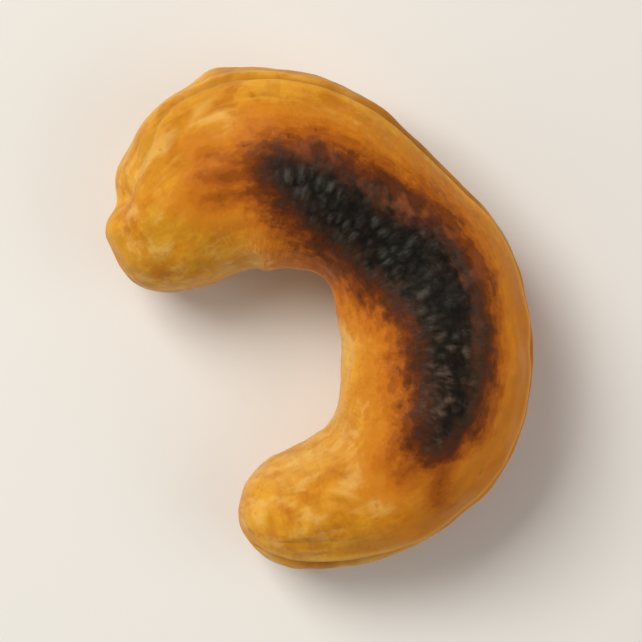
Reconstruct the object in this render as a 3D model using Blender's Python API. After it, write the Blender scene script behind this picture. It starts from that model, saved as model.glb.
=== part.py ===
"""A whole roasted cashew kernel, lying on its side as a C. Metres, +Z up.

The kernel lies along X, with its broad end at -X and its narrow end at +X. The C opens towards -Y.
It is one sphere whose poles are drawn out to the two ends of a bent centreline. A formula gives each
vertex its place round that line. Low relief then adds the seam between the two halves of the kernel,
the nub of the root, the notch beside it and the broad dents.
"""

import math

import bmesh
import bpy
import numpy as np

MM = 0.001

KERNEL = "cashew_kernel"
COLLECTION = "roasted_cashew_nut"

# The mesh: rings from end to end, and vertices round each ring
RINGS = 64
AROUND = 64
LENGTH_SAMPLES = 600

# Each ring faces along the chord from this many stations behind it to as many ahead, so the rings turn
# evenly and don't cross on the inner side of the bend
CHORD_REACH = 0.7

# From the broad end to the narrow end, in mm: the centreline's x and y, the half width across the arm,
# the half height, and how far the underside clears the surface that the kernel lies on
STATIONS = np.array(
    (
        (-6.46, -9.20, 3.80, 3.75, 0.60),
        (-7.18, -6.50, 4.32, 4.20, 0.00),
        (-7.89, -3.40, 4.87, 4.65, 0.15),
        (-7.33, -0.42, 5.11, 4.85, 0.50),
        (-5.39, 2.09, 4.74, 4.90, 0.50),
        (-2.72, 3.65, 4.25, 4.80, 0.20),
        (0.38, 4.44, 4.72, 4.80, 0.00),
        (3.55, 4.08, 4.84, 4.90, 0.20),
        (6.27, 2.75, 4.86, 4.80, 0.50),
        (8.29, 0.57, 4.45, 4.55, 0.55),
        (9.33, -2.22, 3.78, 4.20, 0.25),
        (9.18, -5.27, 3.22, 3.75, 0.00),
        (8.34, -8.82, 2.52, 2.95, 0.60),
    )
)

# Round ends: each is this long, in mm along the centreline
BROAD_CAP = 3.3
NARROW_CAP = 2.6

# The section across an arm is a little fuller than an ellipse, and taller towards the outside of the C
FULLNESS = 2.15
OUTER_SWELL = 0.05

# The three resting spots: the underside is sunk this far and then cut flat at the surface
REST_SINK = 0.12

# The middle of the outline, seen from above, which becomes the origin
MIDDLE = (-0.012, -0.09, 0.0)

# The seam between the halves: its angle above the arm's outer edge at each station, and its relief in mm
SEAM_DEG = np.array((64, 58, 31, 28, 25, 18, 13, 12, 12, 14, 20, 27, 30))
SEAM_DEPTH = 0.15
SEAM_WIDTH = 0.22
LIP_HEIGHT = 0.09
LIP_AT = 0.55
LIP_WIDTH = 0.28

# The seam fades in from this station, past the notch, and fades out towards the narrow tip, each over
# this many stations
BROAD_SEAM_START = 0.7
BROAD_SEAM_FADE = 2.3
NARROW_SEAM_FADE = 0.8

# Vertices round a ring crowd towards the seam: 0 is evenly spaced
SEAM_CROWDING = 0.5

# The root's nub on the broad end, seen from above: a low swelling inside a shallow groove that starts
# at a notch in the edge
NUB_CENTRE = (-4.9, -8.2)
NUB_HEIGHT = 0.54
NUB_WIDTH = 2.2
NUB_GROOVE_RADIUS = 4.0
NUB_GROOVE_DEPTH = 0.16
NUB_GROOVE_WIDTH = 0.55
NUB_GROOVE_REACH = 4.5
NOTCH_CENTRE = (-9.1, -8.6)
NOTCH_DEPTH = 0.80
NOTCH_RADIUS = 1.0

# Hollows down the whole edge, in mm: x and y of the middle, radius and depth
HOLLOWS = ((-10.6, -7.45, 1.8, 0.82),)

# Broad dents in mm: x, y, z of the middle, radius and depth, with swellings as negative depths
DENTS = (
    (-8.6, -3.4, 9.5, 2.2, 0.16),
    (-4.4, -1.2, 8.0, 2.4, 0.14),
    (-1.9, 7.2, 8.2, 2.0, 0.14),
    (2.5, 7.6, 7.6, 2.2, -0.10),
    (6.0, 5.0, 9.6, 2.4, 0.12),
    (7.0, -2.6, 8.0, 2.0, 0.16),
    (10.4, -4.4, 7.6, 2.2, -0.08),
    (-11.6, 0.8, 4.0, 2.4, 0.12),
    (4.0, 7.8, 3.0, 2.6, 0.12),
    (-7.0, 6.5, 4.6, 1.6, 0.16),
    (-0.9, -0.1, 4.9, 1.1, 0.25),
    (-3.2, -5.2, 4.8, 1.3, 0.28),
    (-12.8, -2.6, 4.6, 0.7, 0.12),
    (-13.1, -0.9, 5.4, 1.4, -0.46),
)

ROAST_GOLD = (0.70, 0.36, 0.09, 1.0)
ROAST_ROUGHNESS = 0.38


def clear_scene():
    for thing in list(bpy.data.objects):
        bpy.data.objects.remove(thing, do_unlink=True)


def between(values, along):
    """The stations' values on a smooth curve, at places counted in stations from the broad end."""
    last = len(values) - 1
    start = np.clip(np.floor(along).astype(int), 0, last - 1)
    step = along - start
    if values.ndim > 1:
        step = step[:, None]
    before = values[np.maximum(start - 1, 0)]
    here = values[start]
    after = values[start + 1]
    beyond = values[np.minimum(start + 2, last)]
    slope = (after - before) * step
    bend = (2 * before - 5 * here + 4 * after - beyond) * step**2
    twist = (3 * here - before - 3 * after + beyond) * step**3
    return here + (slope + bend + twist) / 2


def round_end(distance, cap):
    """How much of the full section is left this far from the tip of a round end."""
    return np.sqrt(1 - (1 - np.clip(distance / cap, 0, 1)) ** 2)


def centreline():
    """Places along the kernel, their distance from the broad tip, and how round each end is there."""
    along = np.linspace(0, len(STATIONS) - 1, LENGTH_SAMPLES)
    line = between(STATIONS[:, :2], along)
    steps = np.linalg.norm(np.diff(line, axis=0), axis=1)
    distance = np.concatenate(([0.0], np.cumsum(steps)))
    ends = round_end(distance, BROAD_CAP) * round_end(distance[-1] - distance, NARROW_CAP)
    return along, distance, ends


def ring_places(count):
    """Places for the rings, from tip to tip, at even distances over the kernel's skin."""
    along, distance, ends = centreline()
    radius = ends * between(STATIONS[:, 2], along)
    skin = np.concatenate(([0.0], np.cumsum(np.hypot(np.diff(distance), np.diff(radius)))))
    return np.interp(np.linspace(0, skin[-1], count), skin, along)


def power(value, exponent):
    return np.sign(value) * np.abs(value) ** exponent


def body(along, angle):
    """Points in mm on the smooth body, at places along it and angles round it from its outer edge."""
    places, _, ends = centreline()
    end = np.interp(along, places, ends)
    x, y, half_width, half_height, clearance = between(STATIONS, along).T
    ahead = between(STATIONS[:, :2], np.minimum(along + CHORD_REACH, len(STATIONS) - 1))
    behind = between(STATIONS[:, :2], np.maximum(along - CHORD_REACH, 0))
    tangent = (ahead - behind) / np.linalg.norm(ahead - behind, axis=1)[:, None]
    out = half_width * end * power(np.cos(angle), 2 / FULLNESS)
    up = half_height * end * power(np.sin(angle), 2 / FULLNESS) * (1 + OUTER_SWELL * np.cos(angle))
    middle = clearance + half_height - REST_SINK
    return np.stack((x - tangent[:, 1] * out, y + tangent[:, 0] * out, middle + up), axis=1)


def bump(distance, width):
    return np.exp(-((distance / width) ** 2))


def relief(point, along, angle):
    """How far in mm the skin stands out from the smooth body at each point."""
    turn = angle - np.radians(between(SEAM_DEG, along))
    turn = (turn + math.pi) % (2 * math.pi) - math.pi
    off_seam = np.abs(turn) * between(STATIONS[:, 2], along)
    last = len(STATIONS) - 1
    fade_in = (along - BROAD_SEAM_START) / BROAD_SEAM_FADE
    fade = np.clip(np.minimum(fade_in, (last - along) / NARROW_SEAM_FADE), 0, 1)
    seam = LIP_HEIGHT * bump(off_seam - LIP_AT, LIP_WIDTH) - SEAM_DEPTH * bump(off_seam, SEAM_WIDTH)
    height = fade * seam
    from_nub = np.linalg.norm(point[:, :2] - NUB_CENTRE, axis=1)
    height += NUB_HEIGHT * bump(from_nub, NUB_WIDTH)
    from_notch = np.linalg.norm(point[:, :2] - NOTCH_CENTRE, axis=1)
    groove = bump(from_nub - NUB_GROOVE_RADIUS, NUB_GROOVE_WIDTH) * bump(from_notch, NUB_GROOVE_REACH)
    height -= NUB_GROOVE_DEPTH * groove + NOTCH_DEPTH * bump(from_notch, NOTCH_RADIUS)
    for x, y, radius, depth in HOLLOWS:
        height -= depth * bump(np.linalg.norm(point[:, :2] - (x, y), axis=1), radius)
    for x, y, z, radius, depth in DENTS:
        height -= depth * bump(np.linalg.norm(point - (x, y, z), axis=1), radius)
    return height


def kernel_mesh():
    shape = bmesh.new()
    bmesh.ops.create_uvsphere(shape, u_segments=AROUND, v_segments=RINGS, radius=1.0)
    ball = np.array([vertex.co for vertex in shape.verts])
    ring = np.rint(np.arccos(np.clip(-ball[:, 2], -1, 1)) / math.pi * RINGS).astype(int)
    along = ring_places(RINGS + 1)[ring]
    spread = np.arctan2(ball[:, 1], ball[:, 0])
    angle = spread - SEAM_CROWDING * np.sin(spread) + np.radians(between(SEAM_DEG, along))
    point = body(along, angle)
    for vertex, place in zip(shape.verts, point):
        vertex.co = place
    shape.normal_update()
    normal = np.array([vertex.normal for vertex in shape.verts])
    point = point + normal * relief(point, along, angle)[:, None]
    point[:, 2] = np.maximum(point[:, 2], 0)
    for vertex, place in zip(shape.verts, (point - MIDDLE) * MM):
        vertex.co = place
    bmesh.ops.triangulate(shape, faces=shape.faces)
    mesh = bpy.data.meshes.new(KERNEL)
    shape.to_mesh(mesh)
    shape.free()
    mesh.shade_smooth()
    return mesh


def roast_material():
    material = bpy.data.materials.new("roasted_kernel")
    material.use_nodes = True
    shader = material.node_tree.nodes["Principled BSDF"]
    shader.inputs["Base Color"].default_value = ROAST_GOLD
    shader.inputs["Roughness"].default_value = ROAST_ROUGHNESS
    shader.inputs["Metallic"].default_value = 0.0
    return material


def main():
    clear_scene()
    collection = bpy.data.collections.new(COLLECTION)
    bpy.context.scene.collection.children.link(collection)
    kernel = bpy.data.objects.new(KERNEL, kernel_mesh())
    kernel.data.materials.append(roast_material())
    collection.objects.link(kernel)


main()
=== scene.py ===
"""The look of one roasted cashew kernel: its skin, the scorched patch on top, the floor, light and camera.

The kernel's form repeats the formulas of the part's source on a finer mesh and adds what is too fine for it:
lumps, wrinkles, streaks and pits in the skin, and the crust of the scorched patch. Forms are in mm.
"""

import math

import bmesh
import bpy
import numpy as np
from mathutils import Matrix, Vector, noise


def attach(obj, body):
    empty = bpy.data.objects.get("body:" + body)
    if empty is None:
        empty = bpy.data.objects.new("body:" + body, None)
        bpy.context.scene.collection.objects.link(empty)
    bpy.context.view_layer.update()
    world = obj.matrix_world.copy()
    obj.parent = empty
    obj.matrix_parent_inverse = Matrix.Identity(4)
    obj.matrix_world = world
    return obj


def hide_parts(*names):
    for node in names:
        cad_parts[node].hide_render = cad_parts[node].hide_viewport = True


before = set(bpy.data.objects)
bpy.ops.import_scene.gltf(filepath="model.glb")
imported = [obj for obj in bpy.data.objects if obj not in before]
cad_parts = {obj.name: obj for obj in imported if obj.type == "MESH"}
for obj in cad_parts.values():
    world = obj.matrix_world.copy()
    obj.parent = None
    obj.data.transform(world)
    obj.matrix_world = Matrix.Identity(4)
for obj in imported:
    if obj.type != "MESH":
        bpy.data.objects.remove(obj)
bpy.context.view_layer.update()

MM = 0.001
KERNEL = "cashew_kernel"

# The mesh: rings from end to end, and vertices round each ring
RINGS = 330
AROUND = 256
LENGTH_SAMPLES = 2400

# Each ring faces along the chord from this many stations behind it to as many ahead, so the rings turn
# evenly and don't cross on the inner side of the bend
CHORD_REACH = 0.7

# From the broad end to the narrow end, in mm: the centreline's x and y, the half width across the arm,
# the half height, and how far the underside clears the surface that the kernel lies on
STATIONS = np.array(
    (
        (-6.46, -9.20, 3.80, 3.75, 0.60),
        (-7.18, -6.50, 4.32, 4.20, 0.00),
        (-7.89, -3.40, 4.87, 4.65, 0.15),
        (-7.33, -0.42, 5.11, 4.85, 0.50),
        (-5.39, 2.09, 4.74, 4.90, 0.50),
        (-2.72, 3.65, 4.25, 4.80, 0.20),
        (0.38, 4.44, 4.72, 4.80, 0.00),
        (3.55, 4.08, 4.84, 4.90, 0.20),
        (6.27, 2.75, 4.86, 4.80, 0.50),
        (8.29, 0.57, 4.45, 4.55, 0.55),
        (9.33, -2.22, 3.78, 4.20, 0.25),
        (9.18, -5.27, 3.22, 3.75, 0.00),
        (8.34, -8.82, 2.52, 2.95, 0.60),
    )
)

# Round ends: each is this long, in mm along the centreline
BROAD_CAP = 3.3
NARROW_CAP = 2.6

# The section across an arm is a little fuller than an ellipse, and taller towards the outside of the C
FULLNESS = 2.15
OUTER_SWELL = 0.05

# The three resting spots: the underside is sunk this far and then cut flat at the surface
REST_SINK = 0.12

# The middle of the outline, seen from above, which becomes the origin
MIDDLE = (-0.012, -0.09, 0.0)

# The seam between the halves: its angle above the arm's outer edge at each station, and its relief in mm
SEAM_DEG = np.array((64, 58, 31, 28, 25, 18, 13, 12, 12, 14, 20, 27, 30))
SEAM_DEPTH = 0.15
SEAM_WIDTH = 0.22
LIP_HEIGHT = 0.09
LIP_AT = 0.55
LIP_WIDTH = 0.28

# The seam fades in from this station, past the notch, and fades out towards the narrow tip, each over
# this many stations
BROAD_SEAM_START = 0.7
BROAD_SEAM_FADE = 2.3
NARROW_SEAM_FADE = 0.8

# Vertices round a ring crowd towards the seam: 0 is evenly spaced
SEAM_CROWDING = 0.3

# The root's nub on the broad end, seen from above: a low swelling inside a shallow groove that starts
# at a notch in the edge
NUB_CENTRE = (-4.9, -8.2)
NUB_HEIGHT = 0.54
NUB_WIDTH = 2.2
NUB_GROOVE_RADIUS = 4.0
NUB_GROOVE_DEPTH = 0.16
NUB_GROOVE_WIDTH = 0.55
NUB_GROOVE_REACH = 4.5
NOTCH_CENTRE = (-9.1, -8.6)
NOTCH_DEPTH = 0.80
NOTCH_RADIUS = 1.0

# Hollows down the whole edge, in mm: x and y of the middle, radius and depth
HOLLOWS = ((-10.6, -7.45, 1.8, 0.82),)

# Broad dents in mm: x, y, z of the middle, radius and depth, with swellings as negative depths
DENTS = (
    (-8.6, -3.4, 9.5, 2.2, 0.16),
    (-4.4, -1.2, 8.0, 2.4, 0.14),
    (-1.9, 7.2, 8.2, 2.0, 0.14),
    (2.5, 7.6, 7.6, 2.2, -0.10),
    (6.0, 5.0, 9.6, 2.4, 0.12),
    (7.0, -2.6, 8.0, 2.0, 0.16),
    (10.4, -4.4, 7.6, 2.2, -0.08),
    (-11.6, 0.8, 4.0, 2.4, 0.12),
    (4.0, 7.8, 3.0, 2.6, 0.12),
    (-7.0, 6.5, 4.6, 1.6, 0.16),
    (-0.9, -0.1, 4.9, 1.1, 0.25),
    (-3.2, -5.2, 4.8, 1.3, 0.28),
    (-12.8, -2.6, 4.6, 0.7, 0.12),
    (-13.1, -0.9, 5.4, 1.4, -0.46),
)

# The fine skin is drawn in by this much, so that its relief stays inside the solid's box
SKIN_INSET = 0.06

# The scorched patch seen from above, from the broad end: x, y and half width of its black core
SCORCH = (
    (-6.75, -0.02, 0.85),
    (-5.66, 1.00, 1.45),
    (-3.94, 2.08, 1.75),
    (-2.00, 3.26, 1.95),
    (-0.10, 4.42, 2.05),
    (1.82, 5.00, 1.90),
    (3.81, 4.69, 1.65),
    (5.64, 3.90, 1.66),
    (7.12, 3.20, 1.42),
    (8.16, 2.14, 0.85),
)

# Brown streaks that run out from the scorched patch: x, y and half width at each end
STREAKS = (
    ((-6.9, -0.6, 1.00), (-8.0, -3.5, 0.50)),
    ((-5.9, -0.1, 0.80), (-7.1, -4.0, 0.35)),
    ((-7.2, -0.8, 0.80), (-8.9, -3.0, 0.30)),
    ((8.2, 2.0, 1.10), (9.4, -0.4, 0.45)),
    ((7.0, 1.6, 0.90), (8.5, -0.8, 0.30)),
    ((8.4, 2.4, 0.90), (11.2, 0.9, 0.45)),
)

# Single wrinkles on top, seen from above in mm: x, y and half width along each, and how far it rises
WRINKLES = (
    (((-11.4, -2.8, 0.0), (-10.5, -4.3, 0.55), (-9.3, -5.5, 0.0)), -0.09),
    (((-11.9, -0.7, 0.0), (-11.2, -2.5, 0.60), (-10.2, -4.0, 0.0)), 0.07),
    (((8.6, -4.8, 0.0), (9.4, -3.6, 0.45), (10.5, -2.6, 0.0)), -0.09),
    (((8.3, -4.4, 0.0), (9.0, -3.2, 0.50), (10.1, -2.2, 0.0)), 0.08),
    (((2.7, 0.0, 0.0), (3.3, 1.2, 0.45), (3.8, 2.6, 0.0)), 0.09),
    (((9.8, -8.2, 0.0), (10.7, -6.1, 0.45), (11.4, -4.0, 0.0)), -0.10),
    (((10.4, -8.2, 0.0), (11.2, -6.2, 0.40), (11.9, -4.2, 0.0)), 0.06),
    (((7.4, -7.4, 0.0), (7.9, -5.7, 0.45), (8.1, -4.2, 0.0)), -0.06),
)

# A single wrinkle this high or deep has its full tint
TINTED_WRINKLE = 0.09

# Relief from seeded noise, in mm: each layer's height, its size (one value, or one along the kernel and
# two across it) and the offset that seeds it
LOW_LUMPS = ((0.13, 3.0, 1.7), (0.10, 1.6, 9.2), (0.03, 0.8, 6.6))
LONG_STREAKS = ((0.055, (4.2, 0.8, 0.8), 2.9),)
CROSS_WRINKLES = ((0.034, (0.55, 1.7, 1.7), 4.4),)
RAGGED_EDGE = ((0.25, 1.3, 3.1), (0.14, 0.5, 5.7))
CRUST_GRAIN = ((0.04, (0.28, 0.5, 0.5), 7.3),)
CRUST_RIPPLES = ((0.05, (0.45, 1.8, 1.8), 3.3),)

# Where the cross wrinkles and the pits are: the size and offset of a noise, and the values between
# which it lets them in
WRINKLED_AREAS = (2.6, 8.8, -0.3, 0.3)
PITTED_AREAS = (0.40, 6.1, 0.50, 0.75)
PIT_DEPTH = 0.04

# The crust's domes: their size along and across the kernel, how high they are from crease to top, and
# the cell noise at which they are full
DOME_SIZE = (0.56, 0.78, 0.78)
DOME_HEIGHT = 0.17
DOME_FULL = 0.9

# Between these two values of its normal's z, the skin goes from facing down to facing up
FACING_UP = (-0.1, 0.45)

# The roast is held on top: it counts as at most this far inside the patch's edge, in mm, where the skin
# faces down and where it faces up
ROAST_LIMIT = (-4.0, 2.0)

# The patch's margin falls off faster by this share on the outer side of the arm. This comes in between
# these two cosines of the angle round the arm, and between these two stations
STEEPER = 0.75
OUTER_SIDE = (0.0, 0.4)
STEEP_FROM = (5.2, 7.0)

# How ragged the streaks are, as a share of the patch's own raggedness
STREAK_RAGGEDNESS = 0.5

# The crust comes in between these two depths inside the patch's edge
CRUST_FROM = (-0.1, 0.9)

# Near the seam, up to about this many mm to each side, these shares of the fine relief and of all the
# skin's relief are left out
CALM_WIDTH = 1.2 * LIP_AT
CALM_FINE = 0.6
CALM_ALL = 0.5

# Where the tints go along the kernel: the stations between which each comes in, or fades out where the
# larger one is first, or the middle and the reach of one that lies round a station
NARROW_ARM = (8.5, 10.0)
# The painted highlight along the outer edge fades out from the broad end between these
BROAD_LIT_RIM = (3.0, 2.0)
WIDE_GROOVE = (3.2, 2.2)
FULL_LIP = (4.8, 6.2)
# The painted warm light on the outer flank of the narrow arm comes in and fades out between these
WARM_LIGHT_FROM = (5.6, 7.0)
WARM_LIGHT_UNTIL = (10.8, 9.6)
# The painted shade on the flank outside the seam lies round this station, over this reach
SHADED_FLANK_MIDDLE = 4.7
SHADED_FLANK_REACH = 1.0
PALE_ARM_MIDDLE = 10.9
PALE_ARM_REACH = 1.1

# Where they go round the arm: the cosines of the angle between which each comes in, counted from the outer
# edge or, for the inner ones, from the inner edge, and the half width of the painted edge highlight, as an
# angle
# The painted warm light on the outer flank comes in between these cosines
WARM_LIGHT_SIDE = (0.30, 0.70)
OUTER_MARGIN = (-0.05, 0.35)
INNER_EDGE = (0.80, 0.97)
INNER_SIDE = (0.25, 0.90)
LIT_RIM_WIDTH = math.radians(17)

# Where the painted shade on the flank outside the seam starts and ends, in mm round the arm from the seam,
# downwards
SHADED_FLANK_TOP = (0.3 * LIP_AT, -0.1)
SHADED_FLANK_FOOT = (-5.0, -1.5)

# The tints of the groove and of the lip are narrower than their relief. The groove's is weaker by a share
# on the narrow arm, the lip's is at least this strong, and the painted edge highlight has this share at the
# broad end
GROOVE_TINT = 0.8
LIP_TINT = 0.8
GROOVE_LOSS = 0.6
LEAST_LIP = 0.35
BROAD_LIT_RIM_SHARE = 0.6

# The tints come in between these shares of the full section, away from the tips
WHOLE_FROM = (0.3, 0.9)


def between(values, along):
    """The stations' values on a smooth curve, at places counted in stations from the broad end."""
    last = len(values) - 1
    start = np.clip(np.floor(along).astype(int), 0, last - 1)
    step = along - start
    if values.ndim > 1:
        step = step[:, None]
    before = values[np.maximum(start - 1, 0)]
    here = values[start]
    after = values[start + 1]
    beyond = values[np.minimum(start + 2, last)]
    slope = (after - before) * step
    bend = (2 * before - 5 * here + 4 * after - beyond) * step**2
    twist = (3 * here - before - 3 * after + beyond) * step**3
    return here + (slope + bend + twist) / 2


def round_end(distance, cap):
    """How much of the full section is left this far from the tip of a round end."""
    return np.sqrt(1 - (1 - np.clip(distance / cap, 0, 1)) ** 2)


def centreline():
    """Places along the kernel, their distance from the broad tip, and how round each end is there."""
    along = np.linspace(0, len(STATIONS) - 1, LENGTH_SAMPLES)
    line = between(STATIONS[:, :2], along)
    steps = np.linalg.norm(np.diff(line, axis=0), axis=1)
    distance = np.concatenate(([0.0], np.cumsum(steps)))
    ends = round_end(distance, BROAD_CAP) * round_end(distance[-1] - distance, NARROW_CAP)
    return along, distance, ends


def ring_places(count):
    """Places for the rings, from tip to tip, at even distances over the kernel's skin."""
    along, distance, ends = centreline()
    radius = ends * between(STATIONS[:, 2], along)
    skin = np.concatenate(([0.0], np.cumsum(np.hypot(np.diff(distance), np.diff(radius)))))
    return np.interp(np.linspace(0, skin[-1], count), skin, along)


def on_line(along):
    """The distance in mm from the broad tip, and how much of the full section there is: 0 at a tip."""
    places, distance, ends = centreline()
    return np.interp(along, places, distance), np.interp(along, places, ends)


def power(value, exponent):
    return np.sign(value) * np.abs(value) ** exponent


def body(along, angle):
    """Points in mm on the smooth body, at places along it and angles round it from its outer edge."""
    _, end = on_line(along)
    x, y, half_width, half_height, clearance = between(STATIONS, along).T
    ahead = between(STATIONS[:, :2], np.minimum(along + CHORD_REACH, len(STATIONS) - 1))
    behind = between(STATIONS[:, :2], np.maximum(along - CHORD_REACH, 0))
    tangent = (ahead - behind) / np.linalg.norm(ahead - behind, axis=1)[:, None]
    out = half_width * end * power(np.cos(angle), 2 / FULLNESS)
    up = half_height * end * power(np.sin(angle), 2 / FULLNESS) * (1 + OUTER_SWELL * np.cos(angle))
    middle = clearance + half_height - REST_SINK
    return np.stack((x - tangent[:, 1] * out, y + tangent[:, 0] * out, middle + up), axis=1)


def bump(distance, width):
    return np.exp(-((distance / width) ** 2))


def rise(value, low, high):
    """0 below low, 1 above high and a smooth step between."""
    step = np.clip((value - low) / (high - low), 0, 1)
    return step * step * (3 - 2 * step)


def off_seam(along, angle):
    """Distance in mm round the arm from the seam, and how far the seam has faded in from the tips."""
    turn = angle - np.radians(between(SEAM_DEG, along))
    turn = (turn + math.pi) % (2 * math.pi) - math.pi
    last = len(STATIONS) - 1
    fade_in = (along - BROAD_SEAM_START) / BROAD_SEAM_FADE
    fade = np.clip(np.minimum(fade_in, (last - along) / NARROW_SEAM_FADE), 0, 1)
    return turn * between(STATIONS[:, 2], along), fade


def relief(point, along, angle):
    """How far in mm the skin stands out from the smooth body at each point."""
    across, fade = off_seam(along, angle)
    across = np.abs(across)
    seam = LIP_HEIGHT * bump(across - LIP_AT, LIP_WIDTH) - SEAM_DEPTH * bump(across, SEAM_WIDTH)
    height = fade * seam
    from_nub = np.linalg.norm(point[:, :2] - NUB_CENTRE, axis=1)
    height += NUB_HEIGHT * bump(from_nub, NUB_WIDTH)
    from_notch = np.linalg.norm(point[:, :2] - NOTCH_CENTRE, axis=1)
    groove = bump(from_nub - NUB_GROOVE_RADIUS, NUB_GROOVE_WIDTH) * bump(from_notch, NUB_GROOVE_REACH)
    height -= NUB_GROOVE_DEPTH * groove + NOTCH_DEPTH * bump(from_notch, NOTCH_RADIUS)
    for x, y, radius, depth in HOLLOWS:
        height -= depth * bump(np.linalg.norm(point[:, :2] - (x, y), axis=1), radius)
    for x, y, z, radius, depth in DENTS:
        height -= depth * bump(np.linalg.norm(point - (x, y, z), axis=1), radius)
    return height


def normals(mesh, point):
    """The mesh's vertex normals with its vertices at these points."""
    mesh.vertices.foreach_set("co", point.ravel())
    mesh.update()
    normal = np.empty(len(mesh.vertices) * 3)
    mesh.vertices.foreach_get("normal", normal)
    return normal.reshape(-1, 3)


def lumps(place, scale, offset):
    """Smooth seeded noise from -1 to 1, in lumps about `scale` mm across."""
    moved = place / np.asarray(scale) + offset
    return np.array([noise.noise(spot) for spot in moved])


def layered(place, layers):
    """The sum of some layers of noise, in mm."""
    return sum(height * lumps(place, size, offset) for height, size, offset in layers)


def areas(place, size, offset, low, high):
    """1 inside the areas where a noise is past high, 0 outside them and a smooth step between."""
    return rise(lumps(place, size, offset), low, high)


def stroke_depth(point, stroke):
    """How far in mm each point is inside a tapering stroke seen from above; outside is negative."""
    depth = np.full(len(point), -np.inf)
    for (ax, ay, a_half), (bx, by, b_half) in zip(stroke, stroke[1:]):
        way = np.array((bx - ax, by - ay))
        share = np.clip(((point[:, :2] - (ax, ay)) @ way) / (way @ way), 0, 1)
        nearest = np.array((ax, ay)) + share[:, None] * way
        half = a_half + share * (b_half - a_half)
        depth = np.maximum(depth, half - np.linalg.norm(point[:, :2] - nearest, axis=1))
    return depth


def wrinkles(point):
    """How far in mm the single wrinkles lift the skin at each point."""
    lift = np.zeros(len(point))
    for course, height in WRINKLES:
        widest = max(half for _, _, half in course)
        lift += height * rise(stroke_depth(point, course), 0, widest)
    return lift


def flow_place(along, angle):
    """Coordinates in mm that follow the kernel, and how much of the full section there is: 0 at a tip.

    The first coordinate is the distance along the kernel, and the other two go round it.
    """
    length, end = on_line(along)
    width = between(STATIONS[:, 2], along) * end
    return np.stack((length, width * np.cos(angle), width * np.sin(angle)), axis=1), end


def crust(flow):
    """The blistered crust of the scorched patch in mm: small domes in rows with creases between them."""
    domes = np.empty(len(flow))
    for index, spot in enumerate(flow / DOME_SIZE):
        near, _ = noise.voronoi(spot)
        domes[index] = near[1] - near[0]
    round_domes = np.sin(np.clip(domes / DOME_FULL, 0, 1) * math.pi / 2)
    relief_of_domes = DOME_HEIGHT * round_domes - DOME_HEIGHT / 2
    return relief_of_domes + layered(flow, CRUST_GRAIN) + layered(flow, CRUST_RIPPLES)


def roast_depths(point, along, angle, facing):
    """How far in mm each point is inside the scorched patch and inside a brown streak."""
    lowest, highest = ROAST_LIMIT
    limit = (highest - lowest) * facing + lowest
    ragged = layered(point, RAGGED_EDGE)
    scorch = stroke_depth(point, SCORCH) + ragged
    steep = STEEPER * rise(np.cos(angle), *OUTER_SIDE) * rise(along, *STEEP_FROM)
    scorch = np.where(scorch < 0, scorch * (1 + steep), scorch)
    streak = np.max([stroke_depth(point, course) for course in STREAKS], axis=0)
    streak = streak + STREAK_RAGGEDNESS * ragged
    return np.minimum(scorch, limit), np.minimum(streak, limit)


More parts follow.
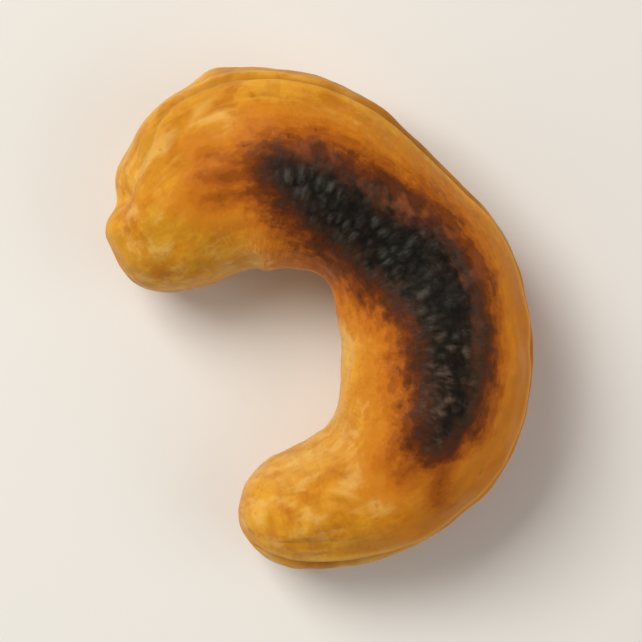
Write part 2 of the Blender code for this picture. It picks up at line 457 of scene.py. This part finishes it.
def skin(mesh, along, angle):
    """The finished skin's points in mm, and what the material needs to know at each of them."""
    point = body(along, angle)
    normal = normals(mesh, point)
    point = point + normal * relief(point, along, angle)[:, None]
    normal = normals(mesh, point)
    flow, end = flow_place(along, angle)
    facing = rise(normal[:, 2], *FACING_UP)
    scorch, streak = roast_depths(point, along, angle, facing)
    burnt = rise(scorch, *CRUST_FROM)

    # The relief is calmer beside the seam, and in the patch the crust takes its place
    across, fade = off_seam(along, angle)
    calm = fade * bump(across, CALM_WIDTH)
    low = layered(point, LOW_LUMPS)
    streaks = layered(flow, LONG_STREAKS)
    wrinkle = layered(flow, CROSS_WRINKLES) * areas(point, *WRINKLED_AREAS)
    pits = -PIT_DEPTH * areas(point, *PITTED_AREAS)
    single = wrinkles(point) * facing
    fine = (1 - burnt) * (streaks + wrinkle + pits) * (1 - CALM_FINE * calm)
    blistered = burnt * crust(flow)
    height = (low + fine + (1 - burnt) * single) * (1 - CALM_ALL * calm) + blistered - SKIN_INSET
    point = point + normal * height[:, None]
    point[:, 2] = np.maximum(point[:, 2], 0)

    # Where the tints go. They keep off the tips, because the directions round the arm meet there
    outwards = np.cos(angle)
    turned = (angle + math.pi) % (2 * math.pi) - math.pi
    whole = rise(end, *WHOLE_FROM)
    narrow = rise(along, *NARROW_ARM)
    groove_width = SEAM_WIDTH * (GROOVE_TINT + rise(along, *WIDE_GROOVE))
    lip_share = LEAST_LIP + (1 - LEAST_LIP) * rise(along, *FULL_LIP)
    # Painted shade: the flank outside the seam is darkened as if it lay in shadow
    shaded_flank = rise(across, *SHADED_FLANK_TOP) * rise(across, *SHADED_FLANK_FOOT)
    # Painted highlight: cream along the outer edge, where light catches it, near both ends
    lit_rim_share = np.maximum(narrow, BROAD_LIT_RIM_SHARE * rise(along, *BROAD_LIT_RIM))
    inner_edge = rise(-outwards, *INNER_EDGE)
    inner_arm = rise(-outwards, *INNER_SIDE) * bump(along - PALE_ARM_MIDDLE, PALE_ARM_REACH)
    facts = {
        "scorch": scorch,
        "streak": streak,
        "groove": fade * bump(across, groove_width) * (1 - GROOVE_LOSS * narrow),
        "lip": fade * bump(across - LIP_AT, LIP_TINT * LIP_WIDTH) * lip_share,
        # painted shade on the flank below the seam
        "shaded_flank": fade * shaded_flank * bump(along - SHADED_FLANK_MIDDLE, SHADED_FLANK_REACH),
        # painted warm light: lifts the outer flank of the narrow arm where it turns away from the lamps
        "painted_warm_light": rise(outwards, *WARM_LIGHT_SIDE) * rise(along, *WARM_LIGHT_FROM) * rise(along, *WARM_LIGHT_UNTIL),
        # painted highlight along the outer edge
        "rim": whole * bump(turned, LIT_RIM_WIDTH) * lit_rim_share,
        "outer": rise(outwards, *OUTER_MARGIN),
        "pale": whole * np.maximum(inner_edge, inner_arm),
        "height": fine + blistered,
        "crease": np.clip(-single / TINTED_WRINKLE, 0, 1),
        "crest": np.clip(single / TINTED_WRINKLE, 0, 1),
    }
    return point, flow, facts


def kernel_skin():
    shape = bmesh.new()
    bmesh.ops.create_uvsphere(shape, u_segments=AROUND, v_segments=RINGS, radius=1.0)
    mesh = bpy.data.meshes.new("kernel_skin")
    shape.to_mesh(mesh)
    shape.free()
    ball = np.empty(len(mesh.vertices) * 3)
    mesh.vertices.foreach_get("co", ball)
    ball = ball.reshape(-1, 3)
    ring = np.rint(np.arccos(np.clip(-ball[:, 2], -1, 1)) / math.pi * RINGS).astype(int)
    along = ring_places(RINGS + 1)[ring]
    spread = np.arctan2(ball[:, 1], ball[:, 0])
    angle = spread - SEAM_CROWDING * np.sin(spread) + np.radians(between(SEAM_DEG, along))
    point, flow, facts = skin(mesh, along, angle)
    mesh.vertices.foreach_set("co", ((point - MIDDLE) * MM).ravel())
    mesh.update()
    mesh.shade_smooth()
    flow_layer = mesh.attributes.new("flow", "FLOAT_VECTOR", "POINT")
    flow_layer.data.foreach_set("vector", flow.ravel())
    for name, values in facts.items():
        layer = mesh.attributes.new(name, "FLOAT", "POINT")
        layer.data.foreach_set("value", values)
    piece = bpy.data.objects.new("kernel_skin", mesh)
    bpy.context.scene.collection.objects.link(piece)
    return piece


# Colours, as linear red, green and blue
GOLD = (0.61, 0.240, 0.0120)
LIGHT_GOLD = (0.75, 0.360, 0.0270)
DEEP_GOLD = (0.48, 0.155, 0.0060)
OLIVE = (0.52, 0.285, 0.0180)
CREAM = (0.84, 0.560, 0.1750)
TAN = (0.36, 0.140, 0.0140)

# The broadest mottling, between two golds: its noise's scale, detail, roughness and warp, and the values
# between which the lighter gold comes in
MOTTLE = (0.34, 3.0, 0.5, 0.4)
MOTTLE_FROM = (0.42, 0.70)

# Noise as soft patches: what it follows (the place on the kernel, or the flow along it), its scale, detail
# and roughness, the values between which the patches come in, and how strong they are outside and inside
PATCHES = {
    "deep patches": ("place", 0.60, 4.0, 0.60, 0.47, 0.66, 0.00, 0.85),
    "light streaks": ("flow", (0.22, 1.7, 1.7), 4.0, 0.60, 0.45, 0.70, 0.00, 0.60),
    "deep bands": ("flow", (2.0, 0.5, 0.5), 3.0, 0.50, 0.48, 0.68, 0.00, 0.32),
    "olive": ("place", 0.42, 3.0, 0.50, 0.46, 0.62, 0.00, 1.00),
    "dry": ("flow", (0.45, 0.9, 0.9), 3.0, 0.60, 0.48, 0.66, 0.00, 0.36),
    "pale": ("place", 0.90, 3.0, 0.60, 0.30, 0.60, 0.45, 1.00),
    "freckles": ("place", 3.20, 2.0, 0.60, 0.64, 0.74, 0.00, 0.45),
    "plum": ("place", 1.30, 4.0, 0.65, 0.38, 0.70, 0.00, 0.55),
    # painted rosy highlights
    "rosy_highlights": ("place", 1.00, 2.0, 0.45, 0.46, 0.68, 0.00, 0.42),
    "sooty": ("place", 1.60, 4.0, 0.65, 0.42, 0.60, 0.00, 0.85),
    # painted glints on the char
    "green glints": ("place", 0.90, 2.0, 0.50, 0.42, 0.58, 0.00, 1.00),
    "uneven glints": ("place", 1.20, 3.0, 0.60, 0.30, 0.60, 0.15, 1.00),
    "flaky glints": ("flow", (3.4, 1.5, 1.5), 4.0, 0.65, 0.36, 0.64, 0.15, 1.00),
    "dull skin": ("place", 0.80, 4.0, 0.60, 0.35, 0.70, 0.40, 0.58),
    "dull char": ("place", 2.60, 3.0, 0.60, 0.40, 0.65, 0.46, 0.76),
}

# The patches of the gold skin, in the order in which they are laid on
MOTTLING = (
    ("deep patches", DEEP_GOLD),
    ("light streaks", LIGHT_GOLD),
    ("deep bands", DEEP_GOLD),
)

# How the edge of the roast frays: what each noise follows, its scale, detail and roughness, and how many
# mm it moves the edge in all
FRAYING = (
    ("flow", (0.8, 2.0, 2.0), 4.0, 0.62, 1.7),
    ("place", 2.4, 3.0, 0.60, 1.2),
)

# The streaks are this many mm less roasted than the patch, fray by this share, and stay under this roast
STREAK_LAG = 1.6
STREAK_FRAYING = 0.6
STREAK_ROAST = -1.0

# Greatest shares of single tints
WARM_SHARE = 0.5
OLIVE_SHARE = 0.4
PALE_SHARE = 0.42
PIT_SHARE = 0.35

# How roasted the skin is where each of these comes in, or fades out where the larger value is first
WARM_FROM = (-4.6, -2.4)
MARGIN_FROM = (-1.2, -0.3)
MARGIN_UNTIL = (1.0, 0.2)
# The painted glints on the char come in between these
GLINTS_FROM = (-0.3, 0.6)
BLACK_FROM = (0.0, 1.2)

# The same, in mm along the kernel from its broad tip, and how bruised the margin is at the narrow end
OLIVE_UNTIL = (2.0, 9.0)
BRUISED_UNTIL = (25.0, 19.0)
LEAST_BRUISED = 0.25
# The painted rosy highlights fade out along the kernel between these
ROSY_HIGHLIGHTS_UNTIL = (26.0, 14.0)
# The painted glints turn browner between these
BROWN_GLINTS_FROM = (20.0, 25.0)

# The same, in mm of relief
PITS_FROM = (-0.02, -0.07)
# The painted glints come in on the domes between these heights
DOMES_FROM = (-0.09, 0.10)

# Tints that follow the form, in the order in which they are laid on, with the greatest share of each:
# painted shade on the flank outside the seam, painted warm light on the outer flank of the narrow arm, a
# painted highlight along the outer edge near both ends, and the single wrinkles, which are tan in their
# creases and pale on their crests
FORM_TINTS = (
    # painted shade on the flank outside the seam
    ("shaded_flank", 0.80, (0.36, 0.130, 0.0060)),
    # painted warm light on the outer flank of the narrow arm
    ("painted_warm_light", 0.70, (0.68, 0.190, 0.0030)),
    # painted highlight where light catches the outer edge
    ("rim", 0.75, CREAM),
    ("crease", 0.30, TAN),
    ("crest", 0.35, CREAM),
)

# The seam has a pale lip on its upper side and a tan groove
SEAM_TINTS = (
    ("lip", 0.70, (0.80, 0.430, 0.0750)),
    ("groove", 0.60, TAN),
)

# From the gold skin to the char: how many mm inside the patch's edge each colour is reached
ROAST = (
    (-2.20, (0.60, 0.205, 0.0130)),
    (-1.75, (0.53, 0.158, 0.0090)),
    (-1.25, (0.38, 0.098, 0.0060)),
    (-0.78, (0.20, 0.047, 0.0045)),
    (-0.38, (0.110, 0.027, 0.0048)),
    (0.05, (0.060, 0.0180, 0.0065)),
    (0.45, (0.034, 0.0150, 0.0075)),
    (0.95, (0.018, 0.0110, 0.0065)),
    (1.50, (0.011, 0.0085, 0.0060)),
)
ROAST_START = -3.10
WARM = (0.62, 0.205, 0.0100)
PLUM = (0.115, 0.042, 0.0260)
# painted rosy highlight
ROSY_HIGHLIGHT = (0.50, 0.140, 0.0420)
EMBER = (0.31, 0.072, 0.0040)
SOOT = (0.0045, 0.0040, 0.0035)
# Greys painted as glints on the tops of the crust's domes
GLINT_GREY = (0.078, 0.065, 0.0530)
GREEN_GLINT_GREY = (0.056, 0.058, 0.0480)
BROWN_GLINT_GREY = (0.150, 0.090, 0.0620)

# The skin's finish where it is the same all over: a satin that light enters a little way
SKIN_FINISH = {
    "Metallic": 0.0,
    "IOR": 1.46,
    "Specular IOR Level": 0.08,
    "Sheen Weight": 0.06,
    "Sheen Roughness": 0.5,
    "Sheen Tint": (1.0, 0.86, 0.62, 1.0),
    "Subsurface Weight": 0.10,
    "Subsurface Radius": (1.0, 0.42, 0.12),
    "Subsurface Scale": 0.6 * MM,
}

# Relief too fine for the mesh: how strong it is, and for each of two noises its height, and its scale,
# detail, roughness and warp
BUMP_STRENGTH = 0.7
GRAIN_HEIGHT = 0.03 * MM
GRAIN = (4.5, 4.0, 0.6)
DIMPLE_HEIGHT = 0.12 * MM
DIMPLES = ((2.0, 1.4, 1.4), 3.0, 0.55, 0.3)


class Shader:
    """Adds nodes to one material. A value can be a number, a colour or another node's socket."""

    def __init__(self, name):
        self.material = bpy.data.materials.new(name)
        self.material.use_nodes = True
        self.tree = self.material.node_tree
        self.surface = self.tree.nodes["Principled BSDF"]

    def put(self, value, socket):
        if isinstance(value, bpy.types.NodeSocket):
            self.tree.links.new(value, socket)
        elif isinstance(value, tuple) and len(value) == 3 and socket.type == "RGBA":
            socket.default_value = (*value, 1.0)
        else:
            socket.default_value = value

    def fact(self, name, output="Fac"):
        """What the mesh says at each point under this name."""
        node = self.tree.nodes.new("ShaderNodeAttribute")
        node.attribute_name = name
        return node.outputs[output]

    def place(self):
        """Where a point is in the kernel's own frame, in mm."""
        node = self.tree.nodes.new("ShaderNodeTexCoord")
        return self.scaled(node.outputs["Object"], (1 / MM, 1 / MM, 1 / MM))

    def scaled(self, vector, scale):
        node = self.tree.nodes.new("ShaderNodeVectorMath")
        node.operation = "MULTIPLY"
        self.put(vector, node.inputs[0])
        node.inputs[1].default_value = scale
        return node.outputs[0]

    def noise(self, vector, scale, detail, rough, warp=0.0):
        """Noise from 0 to 1. A scale of three values stretches it along the vector's axes."""
        if isinstance(scale, tuple):
            vector, scale = self.scaled(vector, scale), 1.0
        node = self.tree.nodes.new("ShaderNodeTexNoise")
        self.put(vector, node.inputs["Vector"])
        node.inputs["Scale"].default_value = scale
        node.inputs["Detail"].default_value = detail
        node.inputs["Roughness"].default_value = rough
        node.inputs["Distortion"].default_value = warp
        return node.outputs["Fac"]

    def maths(self, operation, a, b=0.0, c=0.0):
        node = self.tree.nodes.new("ShaderNodeMath")
        node.operation = operation
        for value, socket in zip((a, b, c), node.inputs):
            self.put(value, socket)
        return node.outputs[0]

    def times(self, first, *others):
        for other in others:
            first = self.maths("MULTIPLY", first, other)
        return first

    def remap(self, value, low, high, to_low=0.0, to_high=1.0):
        """A smooth step from to_low, where the value is low, to to_high, where it is high."""
        node = self.tree.nodes.new("ShaderNodeMapRange")
        node.interpolation_type = "SMOOTHSTEP"
        for entry, socket in zip((value, low, high, to_low, to_high), node.inputs):
            self.put(entry, socket)
        return node.outputs[0]

    def mix(self, share, a, b):
        node = self.tree.nodes.new("ShaderNodeMix")
        node.data_type = "RGBA"
        self.put(share, node.inputs["Factor"])
        self.put(a, node.inputs["A"])
        self.put(b, node.inputs["B"])
        return node.outputs["Result"]

    def bumps(self, height, distance, under=None):
        node = self.tree.nodes.new("ShaderNodeBump")
        self.put(height, node.inputs["Height"])
        node.inputs["Distance"].default_value = distance
        node.inputs["Strength"].default_value = BUMP_STRENGTH
        if under is not None:
            self.put(under, node.inputs["Normal"])
        return node.outputs["Normal"]


def patches(shader, vectors, name):
    """The strength at each point of one kind of patches."""
    follows, scale, detail, rough, low, high, outside, inside = PATCHES[name]
    return shader.remap(shader.noise(vectors[follows], scale, detail, rough), low, high, outside, inside)


def roast_depth(shader, vectors):
    """How roasted each point is, as mm inside the patch's edge: brown streaks, and a margin that frays."""
    frayed = []
    for follows, scale, detail, rough, reach in FRAYING:
        wave = shader.noise(vectors[follows], scale, detail, rough)
        frayed.append(shader.maths("MULTIPLY_ADD", wave, reach, -reach / 2))
    frayed = shader.maths("ADD", *frayed)
    roast = shader.maths("ADD", shader.fact("scorch"), frayed)
    streak = shader.maths("SUBTRACT", shader.fact("streak"), STREAK_LAG)
    smoked = shader.maths("MULTIPLY_ADD", frayed, STREAK_FRAYING, streak)
    return shader.maths("MAXIMUM", roast, shader.maths("MINIMUM", smoked, STREAK_ROAST))


def gold_colour(shader, vectors, length, roast):
    """The gold skin: mottling, olive and dry patches, and the tints that follow the form."""
    mottle = shader.noise(vectors["place"], *MOTTLE)
    colour = shader.mix(shader.remap(mottle, *MOTTLE_FROM), GOLD, LIGHT_GOLD)
    colour = shader.mix(shader.remap(roast, *WARM_FROM, 0.0, WARM_SHARE), colour, WARM)
    for name, tone in MOTTLING:
        colour = shader.mix(patches(shader, vectors, name), colour, tone)

    # The broad end has olive patches, and drier patches are paler everywhere
    broad = shader.remap(length, *OLIVE_UNTIL, 1.0, 0.0)
    colour = shader.mix(shader.times(broad, patches(shader, vectors, "olive"), OLIVE_SHARE), colour, OLIVE)
    colour = shader.mix(patches(shader, vectors, "dry"), colour, CREAM)

    # The inner edge of the C is pale in patches
    pale = shader.times(shader.fact("pale"), patches(shader, vectors, "pale"), PALE_SHARE)
    colour = shader.mix(pale, colour, CREAM)
    for name, share, tone in FORM_TINTS:
        colour = shader.mix(shader.times(shader.fact(name), share), colour, tone)

    # Freckles are deep gold, and the skin is darker where its fine relief dips
    colour = shader.mix(patches(shader, vectors, "freckles"), colour, DEEP_GOLD)
    pitted = shader.remap(shader.fact("height"), *PITS_FROM, 0.0, PIT_SHARE)
    return shader.mix(pitted, colour, EMBER)


def roasted_colour(shader, colour, vectors, length, roast, black):
    """The colour with the scorched patch on it, through the browns to black, with soot and painted glints.
    """
    before = ROAST_START
    for reach, tone in ROAST:
        colour = shader.mix(shader.remap(roast, before, reach), colour, tone)
        before = reach

    # The outer margin is mottled with plum, and towards the broad end it has painted rosy highlights, the
    # oily skin's gloss painted as pink specks
    margin = shader.times(shader.remap(roast, *MARGIN_FROM), shader.remap(roast, *MARGIN_UNTIL))
    lengthwise = shader.remap(length, *BRUISED_UNTIL, LEAST_BRUISED, 1.0)
    bruised = shader.times(margin, shader.fact("outer"), lengthwise)
    colour = shader.mix(shader.times(bruised, patches(shader, vectors, "plum")), colour, PLUM)
    # painted highlights in rose on the outer margin
    rosy_highlights = shader.times(patches(shader, vectors, "rosy_highlights"), bruised, shader.remap(length, *ROSY_HIGHLIGHTS_UNTIL))
    colour = shader.mix(rosy_highlights, colour, ROSY_HIGHLIGHT)

    # The char has patches of soot, and painted glints on the tops of its domes, greys that stand in for
    # light catching them, browner towards the narrow end
    colour = shader.mix(shader.times(patches(shader, vectors, "sooty"), black), colour, SOOT)
    painted_glints = shader.mix(patches(shader, vectors, "green glints"), GLINT_GREY, GREEN_GLINT_GREY)
    painted_glints = shader.mix(shader.remap(length, *BROWN_GLINTS_FROM), painted_glints, BROWN_GLINT_GREY)
    tops = shader.times(
        shader.remap(shader.fact("height"), *DOMES_FROM),
        shader.remap(roast, *GLINTS_FROM),
        patches(shader, vectors, "uneven glints"),
        patches(shader, vectors, "flaky glints"),
    )
    return shader.mix(tops, colour, painted_glints)


def roasted_skin():
    shader = Shader("roasted_skin")
    vectors = {"place": shader.place(), "flow": shader.fact("flow", "Vector")}
    split = shader.tree.nodes.new("ShaderNodeSeparateXYZ")
    shader.put(vectors["flow"], split.inputs[0])
    length = split.outputs["X"]
    roast = roast_depth(shader, vectors)
    black = shader.remap(roast, *BLACK_FROM)
    colour = gold_colour(shader, vectors, length, roast)
    colour = roasted_colour(shader, colour, vectors, length, roast, black)
    for name, share, tone in SEAM_TINTS:
        colour = shader.mix(shader.times(shader.fact(name), share), colour, tone)
    shader.put(colour, shader.surface.inputs["Base Color"])

    # Oily skin, drier where it is scorched
    skin_part = shader.times(patches(shader, vectors, "dull skin"), shader.maths("SUBTRACT", 1.0, black))
    char_part = shader.times(patches(shader, vectors, "dull char"), black)
    shader.put(shader.maths("ADD", skin_part, char_part), shader.surface.inputs["Roughness"])
    for name, value in SKIN_FINISH.items():
        shader.surface.inputs[name].default_value = value

    grain = shader.bumps(shader.noise(vectors["place"], *GRAIN), GRAIN_HEIGHT)
    dimples = shader.bumps(shader.noise(vectors["flow"], *DIMPLES), DIMPLE_HEIGHT, grain)
    shader.put(dimples, shader.surface.inputs["Normal"])
    return shader.material


# The floor's two tones, the scale, detail and roughness of the clouds in which they change, the values
# between which they do, and how far the floor reaches from its middle, in metres
FLOOR_TONES = ((0.80, 0.785, 0.76), (0.84, 0.825, 0.80))
FLOOR_CLOUDS = (0.02, 2.0, 0.5)
FLOOR_CHANGE = (0.3, 0.7)
FLOOR_ROUGHNESS = 0.75
FLOOR_HALF = 0.6


def pale_floor():
    shader = Shader("pale_floor")
    cloudy = shader.noise(shader.place(), *FLOOR_CLOUDS)
    tone = shader.mix(shader.remap(cloudy, *FLOOR_CHANGE), *FLOOR_TONES)
    shader.put(tone, shader.surface.inputs["Base Color"])
    shader.surface.inputs["Roughness"].default_value = FLOOR_ROUGHNESS
    mesh = bpy.data.meshes.new("floor")
    half = FLOOR_HALF
    corners = [(-half, -half, 0), (half, -half, 0), (half, half, 0), (-half, half, 0)]
    mesh.from_pydata(corners, [], [(0, 1, 2, 3)])
    mesh.materials.append(shader.material)
    floor = bpy.data.objects.new("floor", mesh)
    bpy.context.scene.collection.objects.link(floor)


# The camera looks straight down, turned so that the kernel lies as in the photograph. Its aim, the width
# that it sees there and its clip distances are in metres, the lens and the sensor in mm
ROLL_DEG = 67.3
AIM = (0.00073, -0.00092, 0.006)
LENS = 180.0
SENSOR = 36.0
VIEW_WIDTH = 0.0322
CLIP_START = 0.01
CLIP_END = 10.0

# Softboxes: the name, where it stands as seen in the picture (right and up), its height and its size, all
# in metres, its power in watts and its colour
LIGHTS = (
    ("key", (-0.17, 0.15), 0.31, 0.20, 1.17, (1.0, 0.97, 0.91)),
    ("rim", (-0.30, 0.04), 0.07, 0.12, 0.13, (1.0, 0.95, 0.86)),
    ("fill", (0.24, -0.06), 0.22, 0.25, 0.22, (1.0, 0.97, 0.93)),
)
SKY = (1.0, 0.975, 0.93, 1.0)
SKY_STRENGTH = 0.26


def look_down():
    data = bpy.data.cameras.new("camera")
    data.lens = LENS
    data.sensor_width = SENSOR
    data.clip_start = CLIP_START
    data.clip_end = CLIP_END
    camera = bpy.data.objects.new("camera", data)
    distance = VIEW_WIDTH * LENS / SENSOR
    camera.location = Vector(AIM) + Vector((0, 0, distance))
    camera.rotation_euler = (0, 0, math.radians(ROLL_DEG))
    bpy.context.scene.collection.objects.link(camera)
    bpy.context.scene.camera = camera


def soft_light(name, across, height, size, power, colour):
    """A square softbox that points at the origin."""
    data = bpy.data.lights.new(name, "AREA")
    data.shape = "SQUARE"
    data.size = size
    data.energy = power
    data.color = colour
    lamp = bpy.data.objects.new(name, data)
    turn = Matrix.Rotation(math.radians(ROLL_DEG), 3, "Z")
    lamp.location = turn @ Vector((*across, height))
    lamp.rotation_euler = (-lamp.location).to_track_quat("-Z", "Y").to_euler()
    bpy.context.scene.collection.objects.link(lamp)


def studio():
    for light in LIGHTS:
        soft_light(*light)
    world = bpy.data.worlds.new("studio")
    world.use_nodes = True
    background = world.node_tree.nodes["Background"]
    background.inputs["Color"].default_value = SKY
    background.inputs["Strength"].default_value = SKY_STRENGTH
    bpy.context.scene.world = world
    bpy.context.scene.view_settings.view_transform = "Standard"


piece = kernel_skin()
piece.data.materials.append(roasted_skin())
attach(piece, "root")
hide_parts(KERNEL)
pale_floor()
look_down()
studio()
